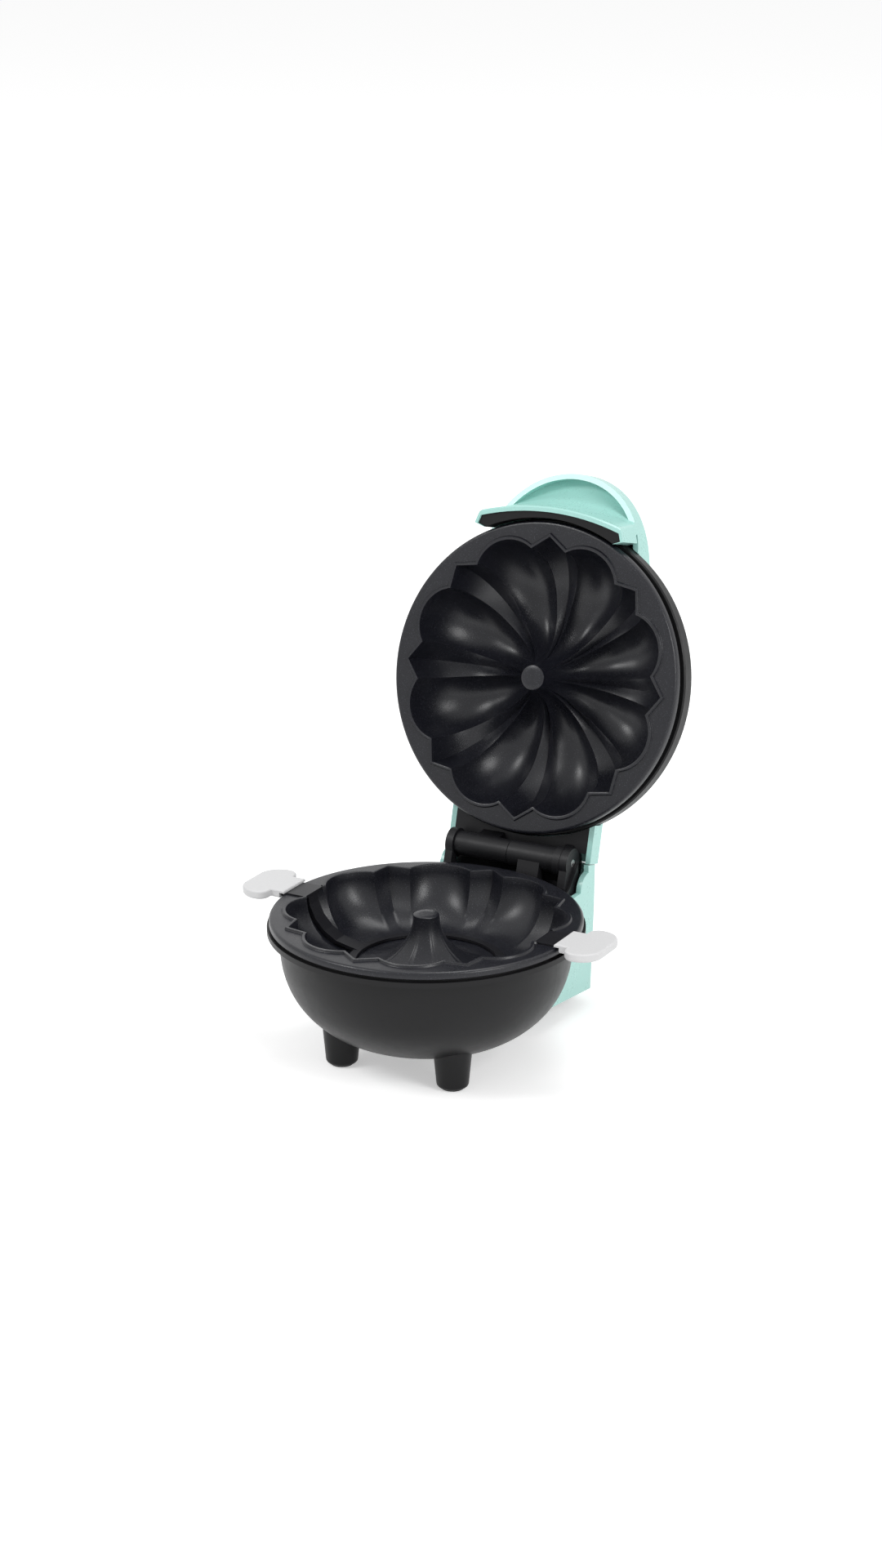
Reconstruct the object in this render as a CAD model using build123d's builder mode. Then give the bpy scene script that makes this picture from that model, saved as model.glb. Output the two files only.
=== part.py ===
from build123d import *
import os
from math import cos, radians, sin, sqrt, tan

# A mini bundt cake maker, millimetres. X to the right, Y to the back, Z up.
# The origin is on the table, in the middle of the opened appliance's footprint.
# The lid is drawn where it stands when it is open, leaning back past upright.

# overall places
axis_y = -40.4            # the baking plates' common axis
parting_z = 61.5          # height of the lower plate's lip, where the plates meet
closed_gap = 0.3          # left between the two lips with the lid shut
hinge_back = 73.9         # hinge axis behind the plates' axis
hinge_rise = 2.5          # hinge axis above the parting plane
open_angle = 104.9        # how far the lid swings from shut to its stop

# baking plates
plate_r = 65.3            # upper plate
lower_plate_r = 63.3
lower_share = 0.966       # lower cavity's outline next to the upper one's
plate_bevel = 0.8
plate_wall = 2.0
face_drop = 0.9           # flat face below the lip's top
edge_depth = 5.0          # bottom of the upper plate's rim below the lip's top
lower_edge_depth = 3.8
flange_rise = 1.0         # underside of the flange above the rim's bottom
rim_wall = 2.2
lobe_count = 8
lobe_r = 59.0
tip_r = 59.0
valley_r = 53.8
valley_half_angle = 8.5
tip_share = 0.5
lip_width = 1.5
ring_r = 31.0             # middle of the ring-shaped channel
floor_half = 4.0
post_r = 5.3
post_drop = 0.5
flute_height = 2.6
lower_depth = 22.0
upper_depth = 28.0
levels = (0.0, 0.3, 0.55, 0.75, 0.9, 1.0)

# bowl
bowl_r = 59.2
bowl_depth = 54.8
bowl_power = 2.4
bowl_wall = 2.0
bowl_top_drop = 9.5
rim_r = 64.2
rim_drop = 4.8
rim_height = 2.2
rim_clear = 0.2           # left around the rim by the spine and the bracket
ledge_in_r = 61.2
ledge_out_r = 64.0
base_ledge_r = 62.4
bowl_mouth_r = 58.4       # clear of the lower plate's dish
seat_gap = 0.1
boss_r = 16.0             # circle of the bosses that hold each plate
boss_count = 3
boss_radius = 4.0
shield_depth = 34.0
sheet = 0.8
screw_r = 1.5
screw_clearance = 0.15
screw_head_r = 2.8
screw_head_height = 1.8
screw_length = 16.0
thread_in = 7.5           # base screws reach this far into the plate's bosses
thread_spare = 1.0        # hole left beyond each screw's tip
screw_seat = 10.5         # heads lie this far up inside the bowl's bosses
foot_x = 25.5
foot_front = 24.5
foot_bottom_r = 6.4
foot_top_r = 8.6
foot_height = 24.0
foot_edge = 1.8
pad_r = 4.6
pad_height = 1.6
pad_recess = 1.0

# spine
band_half = 33.5
spine_wall = 2.2
spine_back = 87.4
spine_back_low = 84.5
spine_bottom = 6.0        # above the table, at the back
spine_front = 43.0
spine_rise = 4.6          # bottom edge higher at the front by this
notch_back = 78.9
notch_floor = 9.4
notch_r = 7.0
spine_edge_r = 3.0
seam_gap = 0.4
cover_sheet = 2.0
cover_recess = 2.4
cover_front = 52.0
cover_post_x = 27.4
cover_post_r = 4.0
cover_post_forward = 20.0
cover_post_height = 14.0
rear_foot_x = 11.0
rear_foot_back = 74.0
rear_foot_r = 5.5
rear_foot_height = 7.0
terminal_block_height = 10.0
inlet_z = 26.0
inlet_bore_r = 3.6
inlet_r = 6.0
inlet_proud = 2.0         # face of the bush behind the spine's back
inlet_length = 7.4
inlet_flange_r = 7.2
inlet_flange = 2.8

# hinge
pin_r = 1.6
pin_clearance = 0.06
barrel_r = 5.4
lid_barrel_r = 5.1
barrel_half = 25.0
barrel_gap = 0.4
ear_width = 3.6
ear_r = 6.2
web_width = 10.0
web_back = 2.6            # webs end this far in front of the hinge axis
bracket_floor = 2.4
bracket_front = 20.0
bracket_back = 10.9
gusset_thick = 1.8
gusset_x = 28.4
gusset_front = 8.1
gusset_back = 2.0
gusset_top = 0.6

# lid
ring_out_r = 66.3
ring_flange_r = 58.4
ring_front = 8.0
ring_back = 14.2
dome_top = 52.0
dome_wall = 2.4
dome_seat = 0.1
dome_flat_r = 1.5         # tiny flat at the dome's top
arm_top = 16.3
arm_wall = 2.3
arm_edge = 8.7
panel_low = 8.7
panel_sheet = 1.6
panel_end = 4.0
skirt_half = 27.9
skirt_r = 10.6
skirt_end = 8.0           # degrees above the backward direction, lid shut
hood_r = 35.3
hood_centre = 50.8
hood_front_rise = 20.6
hood_slope = 0.25
hood_wall = 2.2
hood_back = 12.0
hood_arc_r = 233.0        # curve of the hood's top, front to back
hood_arc_y = 14.4
hood_arc_h = -181.1
hood_crown_r = 48.0       # curve of the hood's top, side to side
hood_crown_half = 40.0
hood_edge_r = 2.0
brim_arc_back = 38.7      # centre of the brim's curve, behind the plates' axis
brim_arc_r = 110.0        # outer edge of the brim at its front
brim_crease_r = 111.3     # where the brim meets the pocket's back wall
brim_wall = 2.2
brim_end = 1.3            # thickness of the lip at each end of the brim
brim_low = -2.2
brim_back = 12.0
brim_edge = 0.6
brim_tip_x = 32.6         # outer corner of each end, and where its side line runs to
brim_tip_y = 66.5
brim_side_x = 34.5
brim_side_y = 60.9
brim_inner_x = 29.7       # where the end's lower edge meets the ring
brim_inner_y = 59.5
brim_corner_r = 2.4
pocket_mid = (3.2, 9.0)   # the pocket's curve, out from the crease and up from it
pocket_top = (11.5, 13.4)
under_recess = 1.0
under_high = 6.0
under_gap = 0.3
upper_shield_depth = 39.0
shield_rim_r = 60.4
lens_r = 2.4
lens_x = 6.0
lens_back = 14.0
lens_proud = 0.8
lens_clearance = 0.05
holder_drop = 4.0

# heating
element_r = 26.5
element_tube_r = 3.2
element_sweep = 300.0
element_gap = 0.1
terminal_length = 5.0
terminal_r = 2.0
clamp_width = 8.0
clamp_length = 13.4
thermostat_r = 7.0
thermostat_height = 6.0
fuse_r = 2.0
fuse_length = 16.0

# lifter
strap_half = 7.0
strap_wall_half = 3.5
strap_thick = 1.1
strap_gap = 0.1
strap_in = 52.5
strap_clear = 0.3
slot_floor = 1.5
lifter_ring_in = 28.8
lifter_ring_out = 32.0
tab_out = 81.8
tab_half = 14.5
tab_neck_half = 8.5
tab_neck = 6.0
tab_thick = 3.6
tab_rise = 0.9
tab_round = 1.2
tab_outer_r = 9.0
tab_inner_r = 4.5
tab_clear = 0.4           # beside the plate's rim and the upper plate's lip
strap_in_tab = 14.0

theta = radians(open_angle)
tab_in = tip_r + 1.6 * lip_width + tab_clear
inlet_outside = spine_back + inlet_proud
hinge_y = axis_y + hinge_back
hinge_z = parting_z + hinge_rise
lid_hinge_h = hinge_rise - closed_gap
lid_up = Vector(0, sin(theta), cos(theta))
lid_rear = Vector(0, cos(theta), -sin(theta))
lid_origin = Vector(0, hinge_y, hinge_z) - lid_rear * hinge_back - lid_up * lid_hinge_h

# base: heights from the parting plane; lower plate: depths downwards from it
base = Plane((0, axis_y, parting_z))
base_radial = Plane(base.origin, x_dir=(1, 0, 0), z_dir=(0, -1, 0))
base_side = Plane(base.origin, x_dir=(0, 1, 0), z_dir=(1, 0, 0))
lower = Plane(base.origin, x_dir=(1, 0, 0), z_dir=(0, 0, -1))
lower_radial = Plane(base.origin, x_dir=(1, 0, 0), z_dir=(0, 1, 0))
base_axis = Axis(base.origin, (0, 0, 1))
lid = Plane(lid_origin, x_dir=(1, 0, 0), z_dir=lid_up)
lid_radial = Plane(lid_origin, x_dir=(1, 0, 0), z_dir=lid_rear * -1)
lid_side = Plane(lid_origin, x_dir=lid_rear, z_dir=(1, 0, 0))
lid_axis = Axis(lid_origin, lid_up)


def save(solid, label, folder="parts"):
    solid.label = label
    export_step(solid, f"{folder}/{label}.step")


def polar(radius, angle):
    return (radius * cos(radians(angle)), radius * sin(radians(angle)))


def lobed_face(plane, tip, valley, lobe, spread=0.0):
    """Closed outline of round lobes with a pointed tip between each two."""
    pitch = 360 / lobe_count
    half = valley_half_angle + spread
    with BuildSketch(plane) as outline:
        with BuildLine():
            for k in range(lobe_count):
                start = polar(valley, k * pitch - half)
                end = polar(valley, k * pitch + half)
                Line(start, polar(tip, k * pitch))
                Line(polar(tip, k * pitch), end)
                following = polar(valley, (k + 1) * pitch - half)
                ThreePointArc(end, polar(lobe, (k + 0.5) * pitch), following)
        make_face()
    return outline.sketch


def outer_radius(level, share=1.0):
    """Radius of the channel's outer wall, lobes, at a share of the depth."""
    low = ring_r + floor_half
    return share * (low + (lobe_r - low) * sqrt(1 - level * level))


def outer_points(level, share=1.0):
    """Tip, valley and lobe radius of the channel's outer wall at that depth."""
    lobe = outer_radius(level, share)
    valley = lobe - share * (lobe_r - valley_r) * (1 - 0.5 * level)
    tip = valley + share * (tip_r - valley_r) * (1 - level) ** tip_share
    return tip, valley, lobe


def inner_radius(level):
    """Radius of the centre post at a share of the depth."""
    low = ring_r - floor_half
    return low - (low - post_r) * sqrt(1 - level * level)


def cavity_outer(seat, depth, share):
    return [lobed_face(seat.offset(v * depth), *outer_points(v, share)) for v in levels]


def cavity_post(seat, depth):
    sections = []
    for level in levels:
        lobe = inner_radius(level)
        valley = lobe + flute_height * level
        tip = lobe + flute_height * level * tip_share
        plane = seat.offset(post_drop + level * (depth - post_drop))
        sections.append(lobed_face(plane, tip, valley, lobe))
    return sections


def make_plate(seat, radial, axis, depth, rim, edge, share):
    """Cast plate: bevelled rim, dish, lip, fluted ring channel and its post."""
    dish = [(outer_radius(v, share) + plate_wall, v * depth) for v in levels[1:]]
    with BuildPart() as plate:
        with BuildSketch(radial):
            with BuildLine():
                Polyline(
                    (0, face_drop),
                    (rim - plate_bevel, face_drop),
                    (rim, face_drop + plate_bevel),
                    (rim, edge),
                    (rim - rim_wall, edge),
                    (rim - rim_wall, edge - flange_rise),
                    (dish[0][0], edge - flange_rise),
                    *dish,
                    (dish[-1][0], depth + plate_wall),
                    (0, depth + plate_wall),
                    close=True,
                )
            make_face()
        revolve(axis=axis)
        tip, valley, lobe = outer_points(0, share)
        lip = lobed_face(seat, tip + 1.6 * lip_width, valley + 1.2 * lip_width,
                         lobe + lip_width, 0.6)
        extrude(lip, amount=face_drop)
        loft(cavity_outer(seat, depth, share), ruled=True, mode=Mode.SUBTRACT)
        loft(cavity_post(seat, depth), ruled=True)
    return plate.part


def boss_points(radius=boss_r, turn=90.0):
    return [polar(radius, turn + k * 360 / boss_count) for k in range(boss_count)]


os.makedirs("parts", exist_ok=True)

# lower plate, with slots across its rim for the strap and bosses underneath
with BuildPart() as lower_plate:
    add(make_plate(lower, lower_radial, base_axis, lower_depth, lower_plate_r,
                   lower_edge_depth, lower_share))
    with BuildSketch(base.offset(-slot_floor)):
        with Locations((lower_plate_r, 0), (-lower_plate_r, 0)):
            Rectangle(2 * (lower_plate_r - strap_in + 1), 2 * (strap_half + strap_gap))
    extrude(amount=slot_floor + 1, mode=Mode.SUBTRACT)
    with BuildSketch(lower.offset(lower_depth)):
        with Locations(*boss_points()):
            Circle(boss_radius)
    extrude(amount=shield_depth - lower_depth)
    with BuildSketch(lower.offset(shield_depth)):
        with Locations(*boss_points()):
            Circle(screw_r + screw_clearance)
    extrude(amount=-(thread_in + thread_spare), mode=Mode.SUBTRACT)
save(lower_plate.part, "lower_plate")

# the bowl's outer form, used again to cut what stands against it
bowl_curve = [
    (bowl_r * cos(radians(a)) ** (2 / bowl_power),
     -bowl_top_drop - (bowl_depth - bowl_top_drop) * sin(radians(a)) ** (2 / bowl_power))
    for a in (0, 14, 28, 42, 56, 68, 80)
]
with BuildPart() as bowl_form:
    with BuildSketch(base_radial):
        with BuildLine():
            Spline(*bowl_curve, tangents=[(0, -1), (-1, -0.1)])
            Polyline(
                bowl_curve[-1], (bowl_curve[-1][0] - 4, -bowl_depth), (0, -bowl_depth),
                (0, -rim_drop), (rim_r, -rim_drop), (rim_r, -rim_drop - rim_height),
                (bowl_r, -rim_drop - rim_height), bowl_curve[0],
            )
        make_face()
    revolve(axis=base_axis)

inner_scale = (bowl_r - bowl_wall) / bowl_r
bowl_inside = [
    (x * inner_scale, -bowl_top_drop + (z + bowl_top_drop) * inner_scale) for x, z in bowl_curve
]
bowl_floor = bowl_depth - bowl_wall
seat_line = -lower_edge_depth - seat_gap
with BuildPart() as base_bowl:
    add(bowl_form.part)
    with BuildSketch(base_radial):
        with BuildLine():
            Spline(*bowl_inside, tangents=[(0, -1), (-1, -0.1)])
            Polyline(
                bowl_inside[-1], (bowl_inside[-1][0] - 4, -bowl_floor), (0, -bowl_floor),
                (0, -rim_drop), (bowl_mouth_r, -rim_drop),
                (bowl_mouth_r, -rim_drop - 0.6 * rim_height), bowl_inside[0],
            )
        make_face()
    revolve(axis=base_axis, mode=Mode.SUBTRACT)
    with BuildSketch(base_radial):
        with BuildLine():
            Polyline(
                (bowl_mouth_r, -rim_drop - 0.5 * rim_height), (bowl_mouth_r, seat_line),
                (base_ledge_r, seat_line), (base_ledge_r, -rim_drop - 0.5 * rim_height),
                close=True,
            )
        make_face()
    revolve(axis=base_axis)
    with BuildSketch(base.offset(-bowl_floor - 0.5 * bowl_wall)):
        with Locations(*boss_points(turn=-90)):
            Circle(boss_radius)
    extrude(amount=bowl_floor + 0.5 * bowl_wall - shield_depth - sheet - seat_gap)
    with BuildSketch(base.offset(-bowl_depth)):
        with Locations(*boss_points(turn=-90)):
            Circle(screw_r + screw_clearance)
    extrude(amount=bowl_depth - shield_depth, mode=Mode.SUBTRACT)
    with BuildSketch(base.offset(-bowl_depth)):
        with Locations(*boss_points(turn=-90)):
            Circle(screw_head_r + screw_clearance)
    extrude(amount=screw_seat + screw_head_height, mode=Mode.SUBTRACT)
save(base_bowl.part, "base_bowl")

# screws from under the bowl into the plate's bosses
with BuildPart() as base_screws:
    with BuildSketch(base.offset(-bowl_depth + screw_seat)):
        with Locations(*boss_points(turn=-90)):
            Circle(screw_head_r)
    extrude(amount=screw_head_height)
    with BuildSketch(base.offset(-bowl_depth + screw_seat)):
        with Locations(*boss_points(turn=-90)):
            Circle(screw_r)
    extrude(amount=bowl_depth - screw_seat - shield_depth + thread_in)
save(base_screws.part, "base_screws")

with BuildPart() as lower_heat_shield:
    with BuildSketch(base_radial):
        with BuildLine():
            Polyline(
                (0, -shield_depth), (44, -shield_depth), (50, -shield_depth + 8),
                (50 + sheet, -shield_depth + 8), (44 + sheet, -shield_depth - sheet),
                (0, -shield_depth - sheet), close=True,
            )
        make_face()
    revolve(axis=base_axis)
    with BuildSketch(base.offset(-shield_depth - 2 * sheet)):
        with Locations(*boss_points(turn=-90)):
            Circle(screw_r + screw_clearance)
        with Locations(polar(element_r, 60), polar(element_r, 120)):
            Circle(2 * terminal_r)
    extrude(amount=3 * sheet, mode=Mode.SUBTRACT)
save(lower_heat_shield.part, "lower_heat_shield")


def spoke(seat, angle):
    """Direction outwards from the plate's axis at an angle around it."""
    return seat.x_dir * cos(radians(angle)) + seat.y_dir * sin(radians(angle))


def make_element(seat, turn, depth):
    """Ring-shaped tubular heater behind a plate, with a cold pin at each end."""
    middle = depth + plate_wall + element_gap + element_tube_r
    start = turn + (360 - element_sweep) / 2
    outwards = spoke(seat, start)
    section = Plane(seat.origin, x_dir=outwards, z_dir=outwards.cross(seat.z_dir))
    with BuildPart() as element:
        with BuildSketch(section):
            with Locations((element_r, middle)):
                Circle(element_tube_r)
        revolve(axis=Axis(seat.origin, seat.z_dir), revolution_arc=element_sweep)
        with BuildSketch(seat.offset(middle)):
            with Locations(polar(element_r, start), polar(element_r, start + element_sweep)):
                Circle(terminal_r)
        extrude(amount=element_tube_r + terminal_length)
    return element.part


def make_clamps(seat, turn, depth):
    """Small bars that hold the heater against the plate, one leg on the plate."""
    top = depth + plate_wall + 2 * (element_gap + element_tube_r)
    leg = element_r - element_tube_r - 1.7
    with BuildPart() as clamps:
        for angle in (turn + 120, turn + 240):
            turned = Plane(seat.origin, x_dir=spoke(seat, angle), z_dir=seat.z_dir)
            with BuildSketch(turned.offset(top)):
                with Locations((element_r + 0.5, 0)):
                    Rectangle(clamp_length, clamp_width)
            extrude(amount=2 * sheet)
            with BuildSketch(turned.offset(depth + plate_wall)):
                with Locations((leg, 0)):
                    Rectangle(2, clamp_width)
            extrude(amount=top - depth - plate_wall)
    return clamps.part


save(make_element(lower, -90, lower_depth), "lower_heating_element")
save(make_clamps(lower, -90, lower_depth), "lower_element_clamps")
save(make_element(lid, 90, upper_depth), "upper_heating_element")
save(make_clamps(lid, 90, upper_depth), "upper_element_clamps")

# thermostat against the middle of the lower plate, with two blade terminals
with BuildPart() as thermostat:
    with BuildSketch(lower.offset(lower_depth + plate_wall)):
        Circle(thermostat_r)
    extrude(amount=thermostat_height)
    with BuildSketch(lower.offset(lower_depth + plate_wall + thermostat_height)):
        with Locations((thermostat_r - 2, 0), (-thermostat_r + 2, 0)):
            Rectangle(0.8, 4)
    extrude(amount=3)
save(thermostat.part, "thermostat")

# front feet: tapered, rounded at the bottom, cut to the bowl they stand against
for side, label in ((1, "front_right_foot"), (-1, "front_left_foot")):
    foot_plane = Plane((side * foot_x, axis_y - foot_front, pad_height - pad_recess))
    with BuildPart() as foot:
        with BuildSketch(foot_plane):
            Circle(foot_bottom_r)
        with BuildSketch(foot_plane.offset(foot_height)):
            Circle(foot_top_r)
        loft()
        fillet(foot.edges().sort_by(Axis.Z)[0], radius=foot_edge)
        with BuildSketch(foot_plane):
            Circle(pad_r)
        extrude(amount=pad_recess, mode=Mode.SUBTRACT)
        add(bowl_form.part, mode=Mode.SUBTRACT)
    save(foot.solids().sort_by(Axis.Z)[0], label)

with BuildPart() as front_foot_pads:
    with BuildSketch(Plane.XY):
        with Locations((foot_x, axis_y - foot_front), (-foot_x, axis_y - foot_front)):
            Circle(pad_r)
    extrude(amount=pad_height)
save(front_foot_pads.part, "front_foot_pads")

# spine: side walls and back, with a rounded notch for the hinge
base_reach = max(rim_r, bowl_r) + rim_clear
seam_slope = tan(radians(90 - open_angle))
seam_in = hinge_rise + (notch_back - hinge_back) * seam_slope - seam_gap
seam_out = hinge_rise + (spine_back - hinge_back) * seam_slope - seam_gap
spine_foot = spine_bottom - parting_z
spine_turn = -20.0
with BuildPart() as rear_spine:
    with BuildSketch(base_side):
        with BuildLine():
            Polyline(
                (notch_back, -notch_floor + notch_r), (notch_back, seam_in), (spine_back, seam_out),
                (spine_back - 0.4, spine_turn), (spine_back_low, spine_foot),
                (spine_front, spine_foot + spine_rise), (spine_front, -notch_floor),
                (notch_back - notch_r, -notch_floor),
            )
            RadiusArc((notch_back - notch_r, -notch_floor), (notch_back, -notch_floor + notch_r),
                      notch_r)
        make_face()
    extrude(amount=band_half, both=True)
    corners = rear_spine.edges().filter_by(Axis.X, reverse=True).filter_by(
        lambda e: abs(e.center().X) > band_half - 0.1 and e.center().Y > axis_y + 87)
    fillet(corners, radius=spine_edge_r)
    with BuildSketch(base_side):
        with BuildLine():
            Polyline(
                (spine_front - 1, 6), (spine_front - 1, spine_foot - 2),
                (spine_back_low - spine_wall, spine_foot - 2),
                (spine_back_low - spine_wall, spine_foot),
                (spine_back - 0.4 - spine_wall, spine_turn), (spine_back - spine_wall, 6),
                close=True,
            )
        make_face()
    extrude(amount=band_half - spine_wall, both=True, mode=Mode.SUBTRACT)
    for side in (1, -1):
        with BuildSketch(Plane((side * cover_post_x, axis_y + spine_back_low - cover_post_forward,
                                spine_bottom + cover_recess + cover_sheet + 2.5))):
            Circle(cover_post_r)
        extrude(amount=cover_post_height)
        with BuildSketch(Plane((side * cover_post_x, axis_y + spine_back_low - cover_post_forward,
                                0))):
            Circle(screw_r + screw_clearance)
        extrude(amount=screw_length + spine_bottom + cover_recess, mode=Mode.SUBTRACT)
    add(bowl_form.part, mode=Mode.SUBTRACT)
    with BuildSketch(base.offset(-rim_drop - rim_height - 2)):
        Circle(base_reach)
    extrude(amount=30, mode=Mode.SUBTRACT)
    with BuildSketch(Plane((0, axis_y + inlet_outside, inlet_z), x_dir=(1, 0, 0),
                           z_dir=(0, -1, 0))):
        Circle(inlet_r)
    extrude(amount=inlet_length, mode=Mode.SUBTRACT)
save(rear_spine.part, "rear_spine")

# cover under the spine, with a flat seat for each rear foot
cover_slope = spine_rise / (spine_back_low - spine_front)
cover_low = spine_foot + cover_recess
cover_back = spine_back_low - spine_wall - 0.4


def cover_line(y, up=0.0):
    return (y, cover_low + (spine_back_low - y) * cover_slope + up)


with BuildPart() as spine_bottom_cover:
    with BuildSketch(base_side):
        with BuildLine():
            Polyline(cover_line(cover_back), cover_line(cover_front),
                     cover_line(cover_front, cover_sheet), cover_line(cover_back, cover_sheet),
                     close=True)
        make_face()
    extrude(amount=band_half - spine_wall, both=True)
    foot_spots = [(side * rear_foot_x, axis_y + rear_foot_back) for side in (1, -1)]
    with BuildSketch(Plane.XY.offset(rear_foot_height)):
        with Locations(*foot_spots):
            Circle(rear_foot_r)
    extrude(amount=cover_recess + cover_sheet - 0.4)
    screw_spots = [
        (side * cover_post_x, axis_y + spine_back_low - cover_post_forward) for side in (1, -1)
    ]
    screw_under = spine_bottom + cover_recess + cover_slope * cover_post_forward
    with BuildSketch(Plane.XY):
        with Locations(*screw_spots):
            Circle(screw_r + screw_clearance)
    extrude(amount=30, mode=Mode.SUBTRACT)
    add(rear_spine.part, mode=Mode.SUBTRACT)
save(spine_bottom_cover.part, "spine_bottom_cover")

with BuildPart() as cover_screws:
    with BuildSketch(Plane.XY.offset(screw_under - screw_head_height - 0.4)):
        with Locations(*screw_spots):
            Circle(screw_head_r)
    extrude(amount=screw_head_height + 0.4)
    with BuildSketch(Plane.XY.offset(screw_under)):
        with Locations(*screw_spots):
            Circle(screw_r)
    extrude(amount=screw_length - 6)
    add(spine_bottom_cover.part, mode=Mode.SUBTRACT)
save(cover_screws.part, "bottom_cover_screws")

with BuildPart() as rear_feet:
    with BuildSketch(Plane.XY):
        with Locations(*foot_spots):
            Circle(rear_foot_r)
    extrude(amount=rear_foot_height, taper=-3)
    fillet(rear_feet.edges().group_by(Axis.Z)[0], radius=0.8)
save(rear_feet.part, "rear_feet")

# inlet bush for the lead, through the spine's back
with BuildPart() as inlet_bush:
    with BuildSketch(Plane((0, axis_y + inlet_outside, inlet_z), x_dir=(1, 0, 0),
                           z_dir=(0, -1, 0))):
        Circle(inlet_flange_r)
    extrude(amount=inlet_flange)
    with BuildSketch(Plane((0, axis_y + inlet_outside, inlet_z), x_dir=(1, 0, 0),
                           z_dir=(0, -1, 0))):
        Circle(inlet_r)
    extrude(amount=inlet_length)
    with BuildSketch(Plane((0, axis_y + inlet_outside, inlet_z), x_dir=(1, 0, 0),
                           z_dir=(0, -1, 0))):
        Circle(inlet_bore_r)
    extrude(amount=inlet_length, mode=Mode.SUBTRACT)
    add(rear_spine.part, mode=Mode.SUBTRACT)
save(inlet_bush.part, "inlet_bush")

# ceramic terminal block on the spine's bottom cover
with BuildPart() as terminal_block:
    with BuildSketch(Plane.XY.offset(rear_foot_height + 2)):
        with Locations((0, axis_y + rear_foot_back - 2)):
            Rectangle(24, 12)
    extrude(amount=terminal_block_height + 3)
    with BuildSketch(Plane.XY.offset(rear_foot_height + 5 + terminal_block_height)):
        with Locations((0, axis_y + rear_foot_back - 2)):
            with GridLocations(7, 0, 3, 1):
                Circle(1.8)
    extrude(amount=-5, mode=Mode.SUBTRACT)
    add(spine_bottom_cover.part, mode=Mode.SUBTRACT)
save(terminal_block.solids().sort_by(Axis.Z)[-1], "terminal_block")

# hinge bracket on the base: floor, two ears, half of the barrel, two gussets
hinge_side = Plane((0, hinge_y, hinge_z), x_dir=(0, 1, 0), z_dir=(1, 0, 0))
floor_drop = hinge_rise + notch_floor
ear_start = barrel_half + barrel_gap / 2
ear_end = ear_start + ear_width - barrel_gap / 2


def across(from_x):
    return hinge_side.offset(from_x)


with BuildPart() as hinge_bracket:
    with BuildSketch(across(-band_half + spine_wall)):
        with BuildLine():
            Polyline(
                (-bracket_front, -floor_drop - bracket_floor), (-bracket_front, -floor_drop),
                (bracket_back, -floor_drop), (bracket_back, -floor_drop - bracket_floor),
                close=True,
            )
        make_face()
    extrude(amount=2 * (band_half - spine_wall))
    with BuildSketch(across(barrel_gap / 2)):
        Circle(barrel_r)
    extrude(amount=barrel_half - ear_width - barrel_gap)
    for start in (-ear_end, ear_start):
        with BuildSketch(across(start)):
            Circle(ear_r)
        extrude(amount=ear_end - ear_start)
    for start, width in (
        (-ear_end, ear_end - ear_start),
        ((barrel_half - ear_width - web_width) / 2, web_width),
        (ear_start, ear_end - ear_start),
    ):
        with BuildSketch(across(start)):
            with BuildLine():
                Polyline(
                    (-barrel_r * 0.95, 0.5), (-gusset_front, -floor_drop + 3),
                    (-gusset_front, -floor_drop), (-web_back, -floor_drop),
                    (-web_back, -barrel_r * 0.6), close=True,
                )
            make_face()
        extrude(amount=width)
    for start in (gusset_x, -gusset_x - gusset_thick):
        with BuildSketch(across(start)):
            with BuildLine():
                Polyline((-gusset_front, -floor_drop), (gusset_back, -floor_drop),
                         (gusset_back, -gusset_top), close=True)
            make_face()
        extrude(amount=gusset_thick)
    with BuildSketch(across(-ear_end - 1)):
        Circle(pin_r + pin_clearance)
    extrude(amount=2 * ear_end + 2, mode=Mode.SUBTRACT)
    with BuildSketch(base.offset(-rim_drop - rim_height - 30)):
        Circle(base_reach)
    extrude(amount=60, mode=Mode.SUBTRACT)
save(hinge_bracket.part, "hinge_bracket")

with BuildPart() as hinge_pin:
    with BuildSketch(across(-ear_end)):
        Circle(pin_r)
    extrude(amount=2 * ear_end)
save(hinge_pin.part, "hinge_pin")

# upper plate
with BuildPart() as upper_plate:
    add(make_plate(lid, lid_radial, lid_axis, upper_depth, plate_r, edge_depth, 1.0))
    with BuildSketch(lid.offset(upper_depth)):
        with Locations(*boss_points()):
            Circle(boss_radius)
    extrude(amount=upper_shield_depth - upper_depth)
    with BuildSketch(lid.offset(upper_shield_depth)):
        with Locations(*boss_points()):
            Circle(screw_r + screw_clearance)
    extrude(amount=-(thread_in - sheet + thread_spare), mode=Mode.SUBTRACT)
save(upper_plate.part, "upper_plate")

shield_line = [(35.5, upper_shield_depth), (43.0, 33.5), (52.0, 25.5), (58.0, ring_back)]
with BuildPart() as upper_heat_shield:
    with BuildSketch(lid_radial):
        with BuildLine():
            outside = [(r + sheet, h + sheet) for r, h in reversed(shield_line)]
            Polyline((0, upper_shield_depth), *shield_line, (shield_rim_r, ring_back),
                     (shield_rim_r, ring_back + sheet), *outside,
                     (0, upper_shield_depth + sheet), close=True)
        make_face()
    revolve(axis=lid_axis)
    with BuildSketch(lid.offset(upper_shield_depth - sheet)):
        with Locations(*boss_points()):
            Circle(screw_r + screw_clearance)
        with Locations(polar(element_r, 60), polar(element_r, 120)):
            Circle(2 * terminal_r)
    extrude(amount=3 * sheet, mode=Mode.SUBTRACT)
save(upper_heat_shield.part, "upper_heat_shield")

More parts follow.
